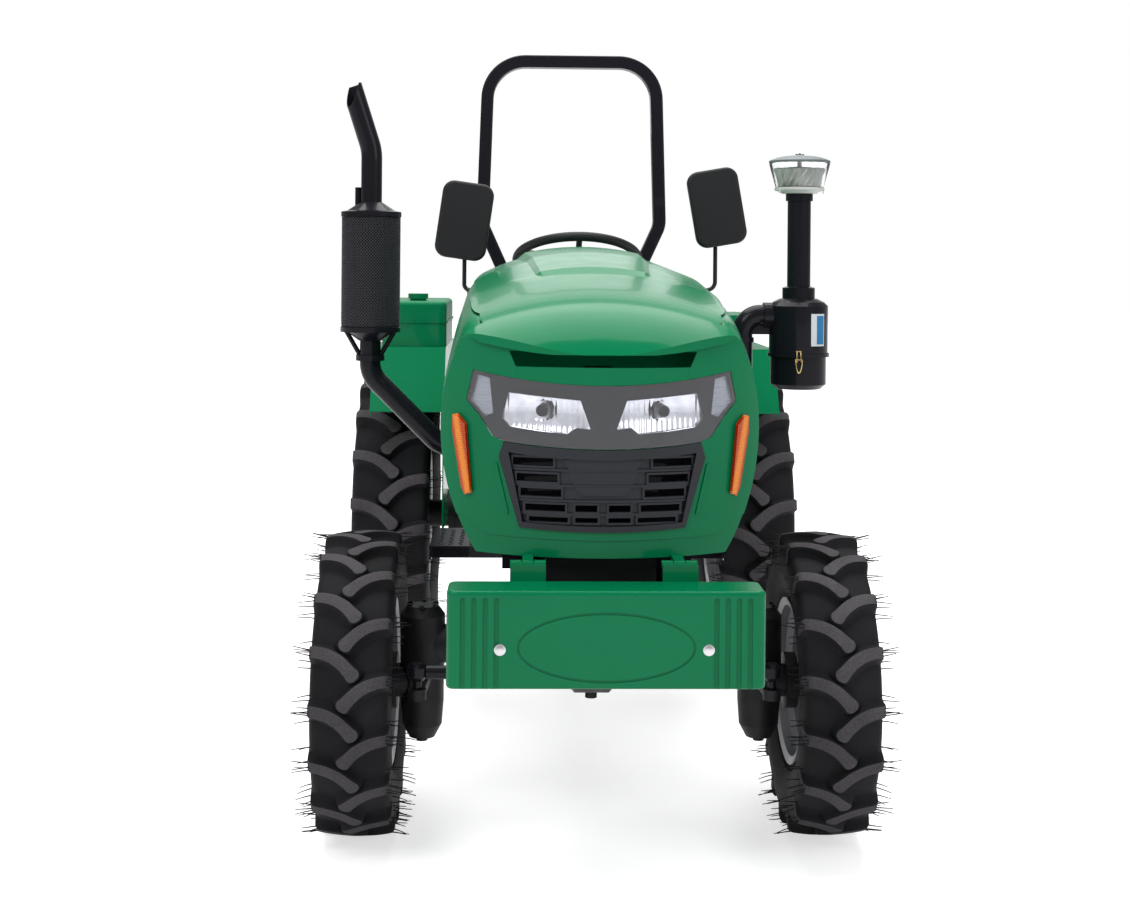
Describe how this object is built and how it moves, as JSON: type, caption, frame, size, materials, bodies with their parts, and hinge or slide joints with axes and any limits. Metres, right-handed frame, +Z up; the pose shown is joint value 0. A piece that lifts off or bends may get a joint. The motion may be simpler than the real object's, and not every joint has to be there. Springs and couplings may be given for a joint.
{
  "type": "farm tractor",
  "caption": "Compact four-wheel-drive farm tractor with a tilting hood, roll hoop, steered front axle and rear three-point lift.",
  "frame": {"origin": "on the ground, at the middle of the overall box", "axes": "-Y is forward, +X is the tractor's left, +Z is up"},
  "size_m": [1.384, 3.0339, 2.03],
  "materials": {
    "green_paint": "gloss enamel",
    "black_paint": "semi-gloss enamel",
    "casting": "black painted casting",
    "engine_paint": "grey painted casting",
    "rim_silver": "silver paint",
    "tyre_rubber": "matt",
    "grille_plastic": "satin moulded",
    "lamp_lens": "clear, lightly smoked",
    "lamp_silver": "metallised housing",
    "amber_lens": "clear amber",
    "bowl": "clear",
    "soft_black": "satin",
    "seat_vinyl": "satin vinyl",
    "bright_steel": "zinc plated",
    "green_tank": "gloss enamel"
  },
  "bodies": {
    "chassis": {"engine": "engine_paint", "radiator": "black_paint", "battery": "soft_black", "front_support": "casting", "bumper": "green_paint", "gearbox": "casting", "drive_shaft": "black_paint", "rear_axle": "casting", "lift_housing": "casting", "rear_hitch": "bright_steel", "platform": "black_paint", "controls": "black_paint", "dash_cowl": "green_paint", "fender_left": "green_paint", "fender_right": "green_paint", "fuel_tank": "green_tank", "toolbox": "green_paint", "seat_base": "black_paint", "seat": "seat_vinyl", "rops": "black_paint", "exhaust": "black_paint", "air_cleaner": "black_paint", "precleaner": "bowl", "mirrors": "soft_black"},
    "hood": {"hood": "green_paint", "hood_cap": "green_paint", "slot_sill": "green_paint", "grille": "grille_plastic", "headlamps": "lamp_silver", "lamp_lens": "lamp_lens", "marker_lamps": "amber_lens"},
    "front_axle": {"front_axle": "casting"},
    "knuckle_left": {"knuckle_left": "casting"},
    "knuckle_right": {"knuckle_right": "casting"},
    "tie_rod": {"tie_rod": "black_paint"},
    "steering_rod": {"steering_rod": "bright_steel"},
    "wheel_front_left": {"front_tyre_left": "tyre_rubber", "front_rim_left": "rim_silver"},
    "wheel_front_right": {"front_tyre_right": "tyre_rubber", "front_rim_right": "rim_silver"},
    "wheel_rear_left": {"rear_tyre_left": "tyre_rubber", "rear_rim_left": "rim_silver"},
    "wheel_rear_right": {"rear_tyre_right": "tyre_rubber", "rear_rim_right": "rim_silver"},
    "steering_wheel": {"steering_wheel": "soft_black"},
    "toolbox_lid": {"toolbox_lid": "green_paint"},
    "lift_arms": {"lift_arms": "black_paint"},
    "lift_rods": {"lift_rods": "black_paint"},
    "lower_links": {"lower_links": "black_paint"},
    "top_link": {"top_link": "black_paint"}
  },
  "joints": [
    {"name": "hood_tilt", "type": "hinge", "parent": "chassis", "child": "hood", "pos_m": [0, -1.382, 0.712], "axis": [1, 0, 0], "range_deg": [0, 60]},
    {"name": "front_axle_oscillation", "type": "hinge", "parent": "chassis", "child": "front_axle", "pos_m": [0, -0.877, 0.43], "axis": [0, 1, 0], "range_deg": [-7, 7]},
    {"name": "steering_left", "type": "hinge", "parent": "front_axle", "child": "knuckle_left", "pos_m": [0.395, -0.877, 0.384], "axis": [0, 0, 1], "range_deg": [-36, 36]},
    {"name": "steering_right", "type": "hinge", "parent": "front_axle", "child": "knuckle_right", "pos_m": [-0.395, -0.877, 0.384], "axis": [0, 0, 1], "range_deg": [-36, 36]},
    {"name": "tie_rod_swing", "type": "hinge", "parent": "knuckle_left", "child": "tie_rod", "pos_m": [0.395, -1.072, 0.412], "axis": [0, 0, 1], "range_deg": [-36, 36]},
    {"name": "steering_cylinder_slide", "type": "slide", "parent": "front_axle", "child": "steering_rod", "axis": [1, 0, 0], "range_m": [-0.0705, 0.0705]},
    {"name": "steering_wheel_turn", "type": "hinge", "parent": "chassis", "child": "steering_wheel", "pos_m": [0, 0.243, 1.33], "axis": [0, 0.3746, 0.9272], "range_deg": [-440, 440]},
    {"name": "front_left_roll", "type": "hinge", "parent": "knuckle_left", "child": "wheel_front_left", "pos_m": [0.535, -0.877, 0.345], "axis": [1, 0, 0], "continuous": true},
    {"name": "front_right_roll", "type": "hinge", "parent": "knuckle_right", "child": "wheel_front_right", "pos_m": [-0.535, -0.877, 0.345], "axis": [1, 0, 0], "continuous": true},
    {"name": "rear_left_roll", "type": "hinge", "parent": "chassis", "child": "wheel_rear_left", "pos_m": [0.572, 0.752, 0.478], "axis": [1, 0, 0], "continuous": true},
    {"name": "rear_right_roll", "type": "hinge", "parent": "chassis", "child": "wheel_rear_right", "pos_m": [-0.572, 0.752, 0.478], "axis": [1, 0, 0], "continuous": true},
    {"name": "toolbox_lid_hinge", "type": "hinge", "parent": "chassis", "child": "toolbox_lid", "pos_m": [0.569, 0.628, 1.154], "axis": [0, 1, 0], "range_deg": [0, 100]},
    {"name": "lift_arms_raise", "type": "hinge", "parent": "chassis", "child": "lift_arms", "pos_m": [0, 0.802, 0.784], "axis": [1, 0, 0], "range_deg": [0, 60]},
    {"name": "lift_rods_swing", "type": "hinge", "parent": "lift_arms", "child": "lift_rods", "pos_m": [0, 1.03835, 0.74232], "axis": [1, 0, 0], "range_deg": [-55, 0]},
    {"name": "lower_links_raise", "type": "hinge", "parent": "chassis", "child": "lower_links", "pos_m": [0, 0.812, 0.36], "axis": [1, 0, 0], "range_deg": [0, 40]},
    {"name": "top_link_swing", "type": "hinge", "parent": "chassis", "child": "top_link", "pos_m": [0, 0.967, 0.655], "axis": [1, 0, 0], "range_deg": [-20, 60]}
  ],
  "couplings": [
    {"joint": "steering_right", "follows": "steering_left", "ratio": 1},
    {"joint": "tie_rod_swing", "follows": "steering_left", "ratio": -1},
    {"joint": "steering_cylinder_slide", "follows": "steering_left", "m_per_rad": -0.112},
    {"joint": "steering_wheel_turn", "follows": "steering_left", "ratio": 12},
    {"joint": "lift_rods_swing", "follows": "lift_arms_raise", "ratio": -0.908},
    {"joint": "lower_links_raise", "follows": "lift_arms_raise", "ratio": 0.657}
  ]
}
